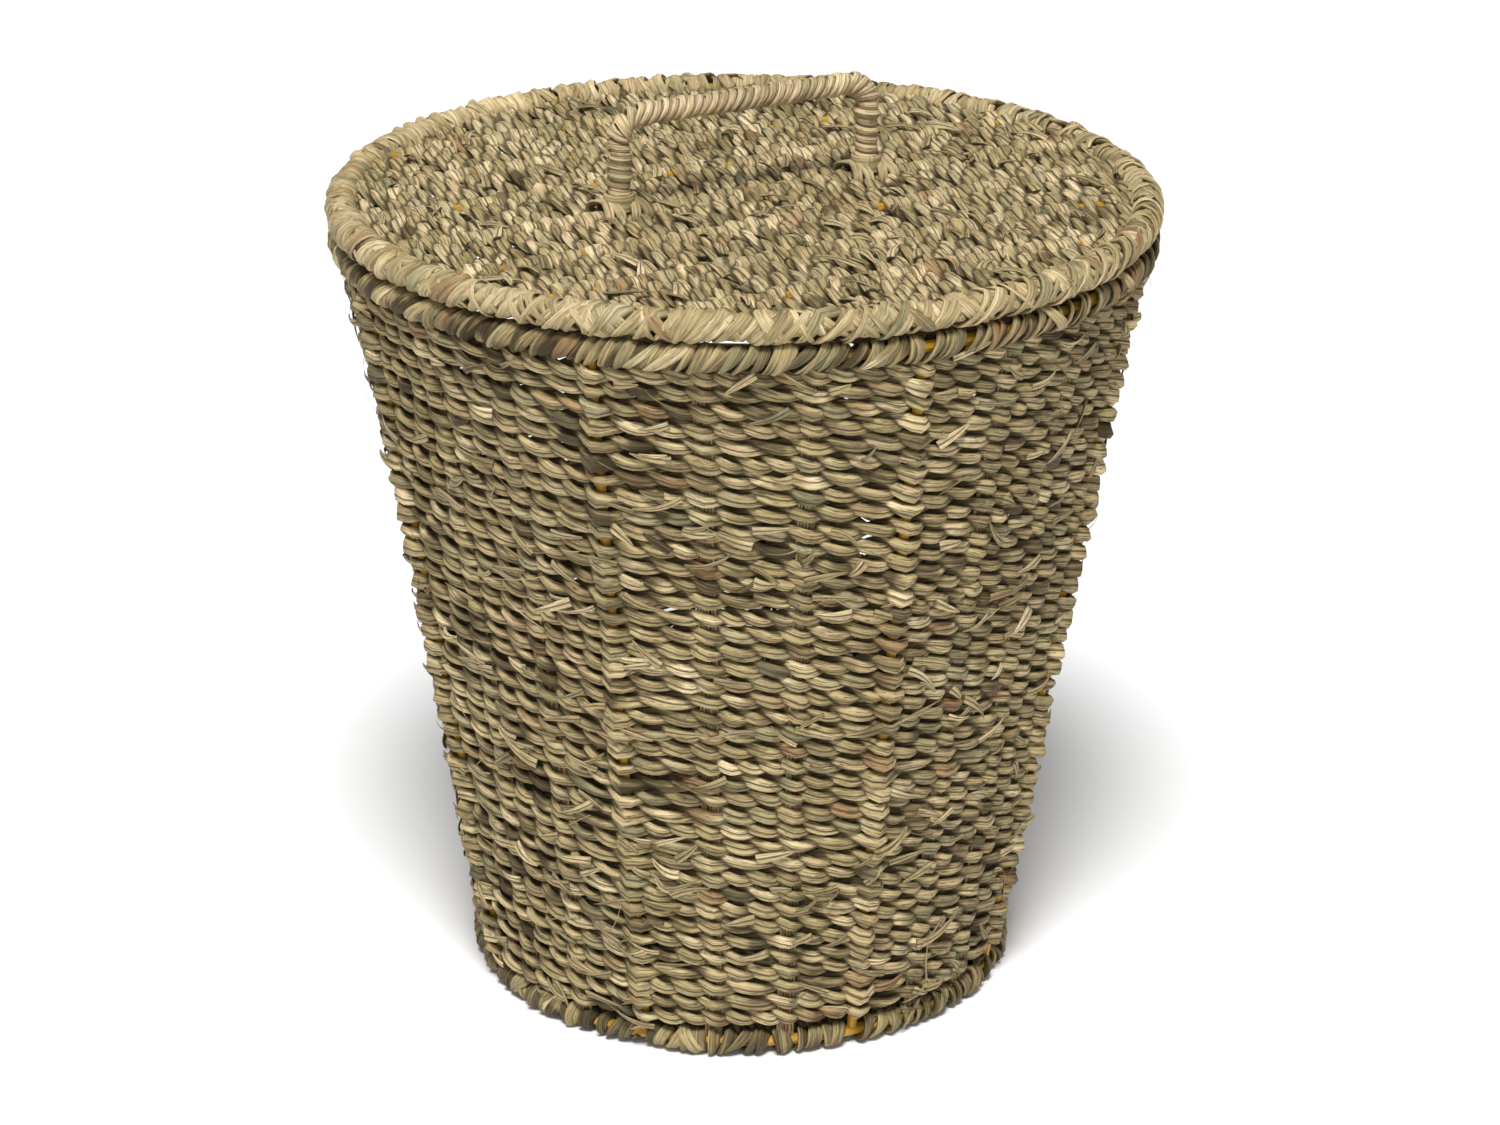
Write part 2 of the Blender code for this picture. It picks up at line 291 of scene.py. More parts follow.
def strand(points, facing, thick, rng, patch=0.035, tint=0.5, spread=0.2, tilt=0.0, core=None):
    """One strand: its middle line, the way its face looks, its half width and its tones.

    tilt rolls the strand so that one of its edges stands up, in radians. core points from
    the strand to what it lies on, where no light gets in, so leaf facing it gets painted shade;
    without it, that is behind the face.
    """
    core = -facing if core is None else core
    along = unit(np.gradient(points, axis=0))
    facing = unit(facing - along * np.sum(facing * along, axis=1, keepdims=True))
    tilt = np.broadcast_to(tilt, len(points))[:, None]
    facing = facing * np.cos(tilt) + np.cross(along, facing) * np.sin(tilt)
    run = distance_along(points)
    return {
        "points": points,
        "facing": unit(facing),
        "core": core,
        "thick": np.broadcast_to(thick, run.shape),
        "run": run + rng.uniform(0, 4),
        "tint": patches(run, patch, rng, tint, spread),
        "hue": patches(run, patch * 1.4, rng, 0.5, 0.21),
    }


def rope(centres, normals, phase, parting, ply, ply_lay, rng):
    """Two plies that turn round each other and part to pass each side of a warp."""
    deep, flat, spread, tint = ply_lay
    along = unit(np.gradient(centres, axis=0))
    up = np.cross(normals, along)
    run = distance_along(centres)
    phase = phase + stray(run, [TURN_STRAY], rng)
    swell = 1 + parting / max(parting.max(), 1e-6) * (spread + stray(run, [GRIP_STRAY], rng))
    plies = []
    for start in (0.0, math.pi):
        angle = phase + start
        out = deep * ply + parting
        points = (
            centres
            + normals * (np.cos(angle) * out)[:, None]
            + up * (np.sin(angle) * flat * ply)[:, None]
        )
        spin = stray(run, [ROLL_STRAY], rng)
        facing = normals * np.cos(spin)[:, None] + up * np.sin(spin)[:, None]
        bulk = swell * (1 + stray(run, BULK_STRAYS, rng))
        # the sides of each ply that face the rope's middle get painted shade through their core
        plies.append(strand(points, facing, ply * bulk, rng, 0.017, tint, core=unit(centres - points)))
    return plies


def turns_in(gap, half_turn, stray_count, rng):
    """How many half turns the rope makes from one warp to the next."""
    return max(2, round(gap / half_turn + rng.uniform(-stray_count, stray_count)))


def crossing_course(half_turns):
    """Places along a row, counted in warps, and how far the rope has turned at each."""
    places, turned = [], []
    total = 0
    for gap, count in enumerate(half_turns):
        share = np.arange(count * POINTS_PER_HALF_TURN) / (count * POINTS_PER_HALF_TURN)
        eased = share + TWIST_EASE * np.sin(TAU * share) / TAU
        places.append(gap + share)
        turned.append(total + count * eased)
        total += count
    return np.concatenate(places), -math.pi * np.concatenate(turned)


def warp_parting(places, gap_length, needed):
    """How far the plies are pushed apart: what each warp needs, and nothing between warps."""
    nearest = np.round(places).astype(int)
    from_warp = np.abs(places - nearest) * gap_length
    return np.asarray(needed)[nearest % len(needed)] * np.exp(-((from_warp / GRIP_LENGTH) ** 2))


# ---- node tree helpers ----
def add_node(tree, kind, links=None, **settings):
    """Add a node. links gives inputs, by name or number, a value or another node's output."""
    node = tree.nodes.new(kind)
    node.location = (200 * (len(tree.nodes) % 12), -260 * (len(tree.nodes) // 12))
    for key, value in settings.items():
        setattr(node, key, value)
    for key, value in (links or {}).items():
        if isinstance(value, bpy.types.NodeSocket):
            tree.links.new(value, node.inputs[key])
        else:
            node.inputs[key].default_value = value
    return node


def calc(tree, operation, *values, **settings):
    """A Math node's result."""
    links = dict(enumerate(values))
    return add_node(tree, "ShaderNodeMath", links, operation=operation, **settings).outputs[0]


def vector_calc(tree, operation, output, links):
    """A Vector Math node's result."""
    return add_node(tree, "ShaderNodeVectorMath", links, operation=operation).outputs[output]


def noise(tree, place, scale, detail, **links):
    """A Noise Texture node's value."""
    links = {"Vector": place, "Scale": scale, "Detail": detail, **links}
    return add_node(tree, "ShaderNodeTexNoise", links).outputs[0]


def attribute_field(tree, name, data_type="FLOAT"):
    node = add_node(tree, "GeometryNodeInputNamedAttribute", {"Name": name}, data_type=data_type)
    return node.outputs["Attribute"]


def store(tree, geometry, name, value, data_type="FLOAT"):
    """The geometry with one more named attribute on its points."""
    links = {"Geometry": geometry, "Name": name, "Value": value}
    return add_node(tree, "GeometryNodeStoreNamedAttribute", links, data_type=data_type).outputs[0]


def new_tree(name, kind, inputs, outputs):
    """An empty node group with the given sockets, its input node and its output node."""
    tree = bpy.data.node_groups.new(name, kind)
    for direction, sockets in (("INPUT", inputs), ("OUTPUT", outputs)):
        for socket_name, socket_type, default in sockets:
            kind_name = "NodeSocket" + socket_type
            socket = tree.interface.new_socket(socket_name, in_out=direction, socket_type=kind_name)
            if default is not None:
                socket.default_value = default
    return tree, add_node(tree, "NodeGroupInput"), add_node(tree, "NodeGroupOutput")


def strand_tree():
    """Sweep a creased leaf section along every guide line."""
    name = "lay strands"
    if name in bpy.data.node_groups:
        return bpy.data.node_groups[name]
    inputs = [
        ("Guides", "Geometry", None),
        ("Sides", "Int", 8),
        ("Flatness", "Float", 1.0),
        ("Crease Every", "Int", 3),
        ("Crease Depth", "Float", 0.2),
        ("Leaf", "Material", None),
    ]
    outputs = [("Strands", "Geometry", None)]
    tree, given, result = new_tree(name, "GeometryNodeTree", inputs, outputs)
    tree.is_modifier = True

    # the section: a circle, pressed flat and creased at every so many corners
    links = {"Resolution": given.outputs["Sides"], "Radius": 1.0}
    circle = add_node(tree, "GeometryNodeCurvePrimitiveCircle", links).outputs["Curve"]
    index = add_node(tree, "GeometryNodeInputIndex").outputs[0]
    remainder = calc(tree, "MODULO", index, given.outputs["Crease Every"])
    crease = calc(tree, "LESS_THAN", remainder, 0.5)
    keep = calc(tree, "SUBTRACT", 1.0, calc(tree, "MULTIPLY", crease, given.outputs["Crease Depth"]))
    squeeze = add_node(tree, "ShaderNodeCombineXYZ", {0: given.outputs["Flatness"], 1: 1.0, 2: 1.0})
    position = add_node(tree, "GeometryNodeInputPosition").outputs[0]
    squeezed = vector_calc(tree, "MULTIPLY", 0, {0: position, 1: squeeze.outputs[0]})
    creased = vector_calc(tree, "SCALE", 0, {0: squeezed, "Scale": keep})
    links = {"Geometry": circle, "Position": creased}
    outline = add_node(tree, "GeometryNodeSetPosition", links).outputs[0]
    outline = store(tree, outline, "place", position, "FLOAT_VECTOR")
    outline = store(tree, outline, "crease", crease)
    outline = store(tree, outline, "corner", index)

    # the sweep along each guide line, its face turned the way that the line says
    lines = add_node(tree, "GeometryNodeMeshToCurve", {"Mesh": given.outputs["Guides"]}).outputs[0]
    links = {"Curve": lines, "Normal": attribute_field(tree, "facing", "FLOAT_VECTOR")}
    turned = add_node(tree, "GeometryNodeSetCurveNormal", links, mode="FREE").outputs[0]
    thick = attribute_field(tree, "thick")
    links = {"Curve": turned, "Profile Curve": outline, "Scale": thick, "Fill Caps": True}
    leaf = add_node(tree, "GeometryNodeCurveToMesh", links).outputs[0]
    # how far each spot faces the strand's core, where the leaf shader paints shade
    normal = add_node(tree, "GeometryNodeInputNormal").outputs[0]
    core = attribute_field(tree, "core", "FLOAT_VECTOR")
    leaf = store(tree, leaf, "inward", vector_calc(tree, "DOT_PRODUCT", "Value", {0: normal, 1: core}))

    # an edge that runs along a strand joins two like corners, so its corner is a whole number
    leaf = add_node(tree, "GeometryNodeSetShadeSmooth", {"Geometry": leaf}).outputs[0]
    part = calc(tree, "SUBTRACT", calc(tree, "FRACT", attribute_field(tree, "corner")), 0.5)
    lengthwise = calc(tree, "GREATER_THAN", calc(tree, "ABSOLUTE", part), 0.25)
    links = {"Geometry": leaf, "Selection": lengthwise, "Shade Smooth": False}
    leaf = add_node(tree, "GeometryNodeSetShadeSmooth", links, domain="EDGE").outputs[0]
    leaf = add_node(tree, "GeometryNodeRealizeInstances", {"Geometry": leaf}).outputs[0]
    links = {"Geometry": leaf, "Material": given.outputs["Leaf"]}
    leaf = add_node(tree, "GeometryNodeSetMaterial", links).outputs[0]
    tree.links.new(leaf, result.inputs[0])
    return tree


def new_object(name, data):
    obj = bpy.data.objects.new(name, data)
    bpy.context.scene.collection.objects.link(obj)
    return obj


def guide_object(name, strands):
    """One mesh of loose edges that holds every strand's middle line and its attributes."""
    points = np.concatenate([one["points"] for one in strands])
    ends = np.cumsum([len(one["points"]) for one in strands]) - 1
    first = np.delete(np.arange(len(points)), ends)
    mesh = bpy.data.meshes.new(name)
    mesh.vertices.add(len(points))
    mesh.vertices.foreach_set("co", points.ravel())
    mesh.edges.add(len(first))
    mesh.edges.foreach_set("vertices", np.stack([first, first + 1], axis=1).ravel())
    for key in ("thick", "run", "tint", "hue"):
        values = np.concatenate([one[key] for one in strands])
        mesh.attributes.new(key, "FLOAT", "POINT").data.foreach_set("value", values)
    for key in ("facing", "core"):
        vectors = np.concatenate([one[key] for one in strands])
        mesh.attributes.new(key, "FLOAT_VECTOR", "POINT").data.foreach_set("vector", vectors.ravel())
    return new_object(name, mesh)


def set_inputs(modifier, values):
    """Set a node modifier's inputs by their sockets' identifiers."""
    for item in modifier.node_group.interface.items_tree:
        if item.item_type == "SOCKET" and item.in_out == "INPUT" and item.name in values:
            modifier[item.identifier] = values[item.name]


def lay(name, strands, outline, leaf, body, replaced=()):
    """Turn strands into one plain mesh that rides on a body and wears its leaf."""
    guide = guide_object(name + "_guide", strands)
    modifier = guide.modifiers.new("lay strands", "NODES")
    modifier.node_group = strand_tree()
    set_inputs(modifier, {"Leaf": leaf_material(leaf), **outline})
    evaluated = guide.evaluated_get(bpy.context.evaluated_depsgraph_get())
    mesh = bpy.data.meshes.new_from_object(evaluated)
    bpy.data.objects.remove(guide)
    mesh.name = name
    spots = np.empty(3 * len(mesh.vertices))
    mesh.vertices.foreach_get("co", spots)
    spots[2::3] = np.maximum(spots[2::3], 0.0)  # leaf that reaches the floor lies flat on it
    mesh.vertices.foreach_set("co", spots)
    piece = new_object(name, mesh)
    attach(piece, body)
    if replaced:
        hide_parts(*replaced)


# ---- finishes ----
def smooth_range(tree, value, low, high):
    links = {"Value": value, "From Min": low, "From Max": high}
    return add_node(tree, "ShaderNodeMapRange", links, interpolation_type="SMOOTHSTEP").outputs[0]


def mix_colour(tree, share, first, second):
    """A Mix node's colour, from first where share is 0 to second where it is 1."""
    node = add_node(tree, "ShaderNodeMix", data_type="RGBA")
    for socket_id, value in (("Factor_Float", share), ("A_Color", first), ("B_Color", second)):
        socket = next(item for item in node.inputs if item.identifier == socket_id)
        if isinstance(value, bpy.types.NodeSocket):
            tree.links.new(value, socket)
        else:
            socket.default_value = value
    return next(item for item in node.outputs if item.identifier == "Result_Color")


def dry_leaf_group():
    """Fibres, painted shade in folds and between strands, patches and odd-coloured leaves, from the
    strands' attributes.
    """
    name = "dry leaf"
    if name in bpy.data.node_groups:
        return bpy.data.node_groups[name]
    inputs = [(tone, "Color", None) for tone in ("Pale", "Middle", "Dark", "Rust", "Green")]
    inputs += [("Fibre Contrast", "Float", 0.5), ("Fold Darkness", "Float", 0.5)]
    inputs.append(("Hollow Darkness", "Float", 0.8))
    outputs = [("Color", "Color", None), ("Roughness", "Float", None), ("Height", "Float", None)]
    tree, given, result = new_tree(name, "ShaderNodeTree", inputs, outputs)

    def strand_value(key, output="Fac"):
        return add_node(tree, "ShaderNodeAttribute", attribute_name=key).outputs[output]

    # fibres run along the strand, so the pattern is stretched that way
    hue = strand_value("hue")
    across = add_node(tree, "ShaderNodeSeparateXYZ", {0: strand_value("place", "Vector")})
    stretched = {
        0: calc(tree, "MULTIPLY", across.outputs[0], FIBRES_ACROSS),
        1: calc(tree, "MULTIPLY", across.outputs[1], FIBRES_ACROSS),
        2: calc(tree, "MULTIPLY", strand_value("run"), FIBRES_ALONG),
    }
    place = add_node(tree, "ShaderNodeCombineXYZ", stretched).outputs[0]
    fibre = noise(tree, place, 1.0, 3.0, Roughness=0.65)
    fine = noise(tree, place, 2.7, 2.0)
    spot = add_node(tree, "ShaderNodeTexCoord").outputs["Object"]
    blotch = noise(tree, spot, 28.0, 3.0)

    # three tones of leaf, then odd-coloured leaves
    middle_off = calc(tree, "SUBTRACT", fibre, 0.5)
    streak = calc(tree, "MULTIPLY", middle_off, given.outputs["Fibre Contrast"])
    cloud = calc(tree, "MULTIPLY", calc(tree, "SUBTRACT", blotch, 0.5), 0.5)
    tone = calc(tree, "ADD", calc(tree, "ADD", strand_value("tint"), streak), cloud)
    dark = given.outputs["Dark"]
    body = mix_colour(tree, smooth_range(tree, tone, -0.05, 0.45), dark, given.outputs["Middle"])
    body = mix_colour(tree, smooth_range(tree, tone, 0.40, 1.05), body, given.outputs["Pale"])
    rusty = calc(tree, "MULTIPLY", smooth_range(tree, calc(tree, "ADD", hue, streak), 0.72, 1.0), 0.7)
    body = mix_colour(tree, rusty, body, given.outputs["Rust"])
    greenish = calc(tree, "MULTIPLY", smooth_range(tree, hue, 0.45, 0.10), 0.6)
    body = mix_colour(tree, greenish, body, given.outputs["Green"])

    # painted shade where the leaf folds and where it faces its neighbours, and dark lines along a few
    # fibres
    line = smooth_range(tree, calc(tree, "ABSOLUTE", middle_off), 0.028, 0.004)
    for mask, amount in (
        (smooth_range(tree, strand_value("crease"), 0.66, 0.97), "Fold Darkness"),
        (line, "Fold Darkness"),
        (smooth_range(tree, strand_value("inward"), -0.62, 0.15), "Hollow Darkness"),
    ):
        body = mix_colour(tree, calc(tree, "MULTIPLY", mask, given.outputs[amount]), body, dark)
    tree.links.new(body, result.inputs["Color"])

    links = {"Value": fibre, "To Min": 0.48, "To Max": 0.85}
    rough = add_node(tree, "ShaderNodeMapRange", links).outputs[0]
    tree.links.new(rough, result.inputs["Roughness"])
    height = calc(tree, "ADD", calc(tree, "MULTIPLY", fibre, 0.9), calc(tree, "MULTIPLY", fine, 0.4))
    height = calc(tree, "SUBTRACT", height, calc(tree, "MULTIPLY", line, 0.5))
    tree.links.new(height, result.inputs["Height"])
    return tree


def new_material(name):
    material = bpy.data.materials.new(name)
    material.use_nodes = True
    return material, material.node_tree, material.node_tree.nodes["Principled BSDF"]


def add_bump(tree, shader, height, strength, distance):
    links = {"Height": height, "Strength": strength, "Distance": distance}
    bump = add_node(tree, "ShaderNodeBump", links)
    tree.links.new(bump.outputs[0], shader.inputs["Normal"])


def leaf_material(name):
    """One of the finishes in LEAVES; the shader itself stays in the material."""
    if name in bpy.data.materials:
        return bpy.data.materials[name]
    middle_tone, fibre_contrast, fold_shade_and_lines, _slot = LEAVES[name]
    colours = bpy.context.scene.basket_colours
    material, tree, shader = new_material(name)
    leaf = add_node(tree, "ShaderNodeGroup", node_tree=dry_leaf_group())
    tones = {
        "Pale": colours.pale,
        "Middle": getattr(colours, middle_tone),
        "Dark": colours.shade,
        "Rust": colours.rust,
        "Green": colours.green,
    }
    for key, value in tones.items():
        leaf.inputs[key].default_value = (*value, 1)
    leaf.inputs["Fibre Contrast"].default_value = fibre_contrast
    leaf.inputs["Fold Darkness"].default_value = fold_shade_and_lines
    tree.links.new(leaf.outputs["Color"], shader.inputs["Base Color"])
    tree.links.new(leaf.outputs["Roughness"], shader.inputs["Roughness"])
    add_bump(tree, shader, leaf.outputs["Height"], 0.8, 0.0006)
    shader.inputs["Specular IOR Level"].default_value = 0.35
    return material


def lacquer_material():
    """Yellow lacquer, thin and chipped in places."""
    name = "yellow lacquer"
    if name in bpy.data.materials:
        return bpy.data.materials[name]
    colours = bpy.context.scene.basket_colours
    material, tree, shader = new_material(name)
    spot = add_node(tree, "ShaderNodeTexCoord").outputs["Object"]
    cloud = noise(tree, spot, 60.0, 4.0)
    speck = noise(tree, spot, 900.0, 2.0)
    worn = [WORN_LACQUER * tone for tone in colours.lacquer]
    coat = mix_colour(tree, smooth_range(tree, cloud, 0.35, 0.75), (*colours.lacquer, 1), (*worn, 1))
    coat = mix_colour(tree, smooth_range(tree, speck, 0.68, 0.74), coat, BARE_WIRE)
    tree.links.new(coat, shader.inputs["Base Color"])
    links = {"Value": cloud, "To Min": 0.22, "To Max": 0.5}
    rough = add_node(tree, "ShaderNodeMapRange", links).outputs[0]
    tree.links.new(rough, shader.inputs["Roughness"])
    add_bump(tree, shader, speck, 0.15, 0.0002)
    return material


# ---- the wall ----
class Wall:
    """The leaning surface that the wall's rows lie on, between the base and top hoops."""

    def __init__(self):
        rise = TOP_HOOP.level - BASE_HOOP.level
        spread = TOP_HOOP.radius - BASE_HOOP.radius
        self.lean = math.atan2(spread, rise)
        self.slant = math.hypot(spread, rise)
        self.stake = angle_of("side_stake_1")

    def radius(self, up):
        return BASE_HOOP.radius + up * math.sin(self.lean)

    def point(self, angle, up):
        """A place on the wall, drawn in a little where no stake holds it out."""
        panel = TAU / len(nodes_named("side_stake"))
        from_middle = np.mod(angle - self.stake, panel) - panel / 2
        straight = math.cos(panel / 2) / np.cos(from_middle)
        share = FLAT_PANELS * np.clip(np.sin(math.pi * up / self.slant), 0, 1) ** 0.6
        radius = self.radius(up) * (1 - share + share * straight)
        return ring_points(radius, angle, BASE_HOOP.level + up * math.cos(self.lean))

    def normal(self, angle):
        """The way out."""
        return ring_points(math.cos(self.lean), angle, -math.sin(self.lean))

    def rise(self, angle):
        """The way up the slant."""
        return ring_points(math.sin(self.lean), angle, math.cos(self.lean))


def wall_row_heights(wall, sizes):
    """The first row's place up the slant, the rows' spacing, and how many fit between the wraps."""
    half_row = 0.3 * (1 + WALL_LAY[1]) * sizes.ply
    first = BASE_HOOP.reach + half_row
    last = wall.slant - TOP_HOOP.reach + half_row / 4
    rows = round((last - first) / sizes.wall_pitch) + 1
    return first, (last - first) / (rows - 1), rows


def wall_rope(wall, first_row, row_count, bottom, pitch, sizes, rng):
    """Rope for some rows: one climbing spiral that parts around every warp."""
    angles, rooms = warps_round_wall(sizes)
    warps = len(angles)
    laps = np.concatenate([angles, [angles[0] + TAU]])
    gaps = np.diff(laps)
    half_turns = []
    for row in range(row_count):
        up = bottom + (first_row + row + 0.5) * pitch
        for gap in gaps:
            half_turns.append(turns_in(gap * wall.radius(up), sizes.half_turn, WALL_COUNT_STRAY, rng))
    places, phase = crossing_course(half_turns)
    inside = np.mod(places, warps)
    angle = np.interp(inside, np.arange(warps + 1), laps)
    up = bottom + (first_row + places / warps) * pitch
    gap_length = float(np.mean(gaps)) * wall.radius(up)
    run = places * gap_length
    up = up + stray(run, WALL_RISE_STRAYS, rng)
    centres = wall.point(angle, up) + wall.normal(angle) * stray(run, [WALL_DEPTH_STRAY], rng)[:, None]
    along = unit(np.gradient(centres, axis=0))
    normals = unit(np.cross(along, wall.rise(angle)))
    parting = warp_parting(places, gap_length, rooms)
    return rope(centres, normals, phase, parting, sizes.ply, WALL_LAY, rng)


class BASKET_OT_twine_wall(bpy.types.Operator):
    """Twine the wall's rows of rope around the stakes and warp cords"""

    bl_idname = "basket.twine_wall"
    bl_label = "Twine the wall"

    def execute(self, context):
        sizes = context.scene.basket_sizes
        wall = Wall()
        first, pitch, rows = wall_row_heights(wall, sizes)
        for band in range(math.ceil((rows - 1) / ROWS_PER_PIECE)):
            start = band * ROWS_PER_PIECE
            count = min(ROWS_PER_PIECE, rows - 1 - start)
            rng = np.random.default_rng(WALL_SEED + band)
            plies = wall_rope(wall, start, count, first, pitch, sizes, rng)
            name = f"wall_rows_{band + 1}"
            lay(name, plies, PLY_SECTION, "seagrass rope", "basket", ["wall_weave"])
        return {"FINISHED"}


class BASKET_OT_lay_warps(bpy.types.Operator):
    """Stand the plain warps between the stakes, three thin cords to each"""

    bl_idname = "basket.lay_warps"
    bl_label = "Stand the warp cords"

    def execute(self, context):
        cord = context.scene.basket_sizes.cord
        wall = Wall()
        rng = np.random.default_rng(CORD_SEED)
        strands = []
        for name in nodes_named("warp_cord"):
            up = np.linspace(BASE_HOOP.wire, wall.slant - TOP_HOOP.wire, 90)
            angles = np.full(up.shape, angle_of(name))
            middle_line = wall.point(angles, up)
            normals = wall.normal(angles)
            sideways = ring_points(1.0, angles + TAU / 4, 0.0)
            for side in (-2, 0, 2):
                offset = side * cord * 0.95 + stray(up, [CORD_STRAY], rng)
                points = middle_line + sideways * offset[:, None]
                strands.append(strand(points, normals, cord, rng, 0.05, 0.3, 0.12))
        replaced = nodes_named("warp_cord")
        lay("warp_cords", strands, CORD_SECTION, "seagrass rope", "basket", replaced)
        return {"FINISHED"}


# ---- the lid's and the base's woven discs ----
def disc_rope(across, level, lines, radius, sizes, rng):
    """One straight row of rope across a disc, parting around each straight wire."""
    spacing = lines[1] - lines[0]
    spare = math.ceil((radius - lines[-1]) / spacing) + 1
    crossings = len(lines) + 2 * spare
    start = lines[0] - spare * spacing
    half_turns = [
        turns_in(spacing, sizes.lid_half_turn, DISC_COUNT_STRAY, rng) for _ in range(crossings)
    ]
    places, phase = crossing_course(half_turns)
    along = start + places * spacing
    half = math.sqrt(max(radius**2 - across**2, 0.0))
    inside = np.abs(along) <= half
    if inside.sum() < 2 * POINTS_PER_HALF_TURN:
        return []
    places, phase, along = places[inside], phase[inside], along[inside]
    sway = across + stray(along, DISC_SIDE_STRAYS, rng)
    bow = level + stray(along, [DISC_DEPTH_STRAY], rng)
    centres = np.stack([sway, along, bow], axis=1)
    normals = np.tile([0.0, 0.0, 1.0], (len(along), 1))
    on_wire = (places > spare - 0.5) & (places < spare + len(lines) - 0.5)
    parting = DISC_PARTING * warp_parting(places, spacing, [half_height("lid_wire_1")]) * on_wire
    return rope(centres, normals, phase, parting, sizes.lid_ply, DISC_LAY, rng)


def wire_cover(across, line, level, ply, rng):
    """A loop of leaf squeezed between two rows, which hides the wire there."""
    share = np.linspace(-1, 1, 7)
    points = np.stack(
        [
            across + rng.uniform(-0.0006, 0.0006) + share * rng.uniform(0.0002, 0.0016),
            line + share * rng.uniform(0.0060, 0.0085),
            level - 0.0006 + 0.0026 * np.cos(share * math.pi / 2),
        ],
        axis=1,
    )
    thick = ply * rng.uniform(0.75, 0.95) * (1 - 0.45 * share**2)
    return strand(points, np.tile([0.0, 0.0, 1.0], (len(share), 1)), thick, rng, 0.03, DISC_LAY[3])


def disc_strands(hoop, lines, sizes, seed):
    """Every row of a disc, and the covers on its wires between the rows."""
    rng = np.random.default_rng(seed)
    ply = sizes.lid_ply
    radius = hoop.radius - hoop.wire
    rows = 2 * math.floor(radius / sizes.lid_pitch) + 1
    strands = []
    for row in range(rows):
        across = (row - (rows - 1) / 2) * sizes.lid_pitch
        strands += disc_rope(across, hoop.level, lines, radius, sizes, rng)
        valley = across + sizes.lid_pitch / 2
        for line in lines:
            if math.hypot(valley, line) < radius - 2 * ply and rng.uniform() < COVERED_WIRE:
                strands.append(wire_cover(valley, line, hoop.level, ply, rng))
    return strands


class BASKET_OT_twine_lid(bpy.types.Operator):
    """Twine the lid's straight rows across its wires"""

    bl_idname = "basket.twine_lid"
    bl_label = "Twine the lid"

    def execute(self, context):
        sizes = context.scene.basket_sizes
        strands = disc_strands(LID_HOOP, wire_lines("lid_wire"), sizes, LID_SEED)
        half = len(strands) // 2
        for side, share in (("left", strands[:half]), ("right", strands[half:])):
            name = f"lid_rows_{side}"
            lay(name, share, PLY_SECTION, "seagrass rope, sunned", "lid", ["lid_weave"])
        return {"FINISHED"}


class BASKET_OT_twine_base(bpy.types.Operator):
    """Twine the base's straight rows across its wires"""

    bl_idname = "basket.twine_base"
    bl_label = "Twine the base"

    def execute(self, context):
        sizes = context.scene.basket_sizes
        strands = disc_strands(BASE_HOOP, wire_lines("base_wire"), sizes, BASE_SEED)
        lay("base_rows", strands, PLY_SECTION, "seagrass rope", "basket", ["base_weave"])
        return {"FINISHED"}


# ---- lashings around the hoops ----
def around_hoop(hoop, ring_angle, section, depth):
    """Places on a lashing, and the way each looks, at an angle round the hoop and round its wire."""
    radius = hoop.radius + depth * np.cos(section)
    level = np.maximum(hoop.level + depth * np.sin(section), FLOOR_ROOM)
    facing = ring_points(np.cos(section), ring_angle, np.sin(section))
    return ring_points(radius, ring_angle, level), facing


def hoop_coils(hoop, arc, sizes, layer, tint, rng):
    """Leaf wound round part of a hoop, a little unevenly, its ends tucked in."""
    climb, lean, spacing, lift = layer
    start, end = arc
    half_width = sizes.coil_width * min(spacing, 1.0)
    coils = max(3, round((end - start) * hoop.radius / (sizes.coil_pitch * spacing)))
    count = np.arange(coils * POINTS_PER_COIL + 1) / POINTS_PER_COIL
    turn = TAU * count
    coil = np.floor(count + 0.25).astype(int)
    slip = rng.normal(0.0, 0.0012, coils + 2)[coil]
    slant = lean + rng.normal(0.0, 0.0015, coils + 2)[coil]
    snug = rng.uniform(-0.0008, 0.0003, coils + 2)[coil]
    width = half_width * rng.uniform(0.72, 1.15, coils + 2)[coil]
    tilt = rng.normal(0.46, 0.22, coils + 2)[coil]
    section = climb * turn + rng.uniform(0, TAU)
    shift = slip + slant * np.sin(section) + stray(count, [COIL_STRAY], rng)
    ring_angle = start + count / coils * (end - start) + shift / hoop.radius
    tucked = np.clip(np.minimum(count, coils - count) / 0.4, 0, 1)
    depth = (hoop.reach - half_width * LASHING_FLATNESS + snug + lift) * (0.6 + 0.4 * tucked)
    points, facing = around_hoop(hoop, ring_angle, section, depth)
    return strand(points, facing, width * (0.4 + 0.6 * tucked), rng, 0.024, tint, 0.13, tilt)


def stray_stitches(hoop, number, half_width, rng):
    """Single stitches that cross the neat coils the other way."""
    strands = []
    for _ in range(number):
        share = np.linspace(0, 1, POINTS_PER_COIL + 3)
        section = -math.pi * 0.9 + share * math.pi * 1.8
        slant = rng.choice([-1, 1]) * rng.uniform(0.003, 0.008)
        ring_angle = rng.uniform(0, TAU) + slant * np.sin(section) / hoop.radius
        depth = hoop.reach - half_width * LASHING_FLATNESS + SLACK_STITCH
        points, facing = around_hoop(hoop, ring_angle, section, depth)
        thick = half_width * rng.uniform(0.45, 0.8)
        strands.append(strand(points, facing, thick, rng, 0.03, 0.58, 0.2, rng.normal(0, 0.3)))
    return strands


def rim_padding(hoop, rng):
    """A bundle of leaf on the inner side of the rim, which closes the gap under the lid."""
    around = np.linspace(0, TAU, 160)
    depth = np.full(around.shape, hoop.reach - 0.0006)
    points, facing = around_hoop(hoop, around, np.full(around.shape, 0.62 * math.pi), depth)
    return strand(points, facing, PADDING, rng, 0.05, 0.2, 0.1)


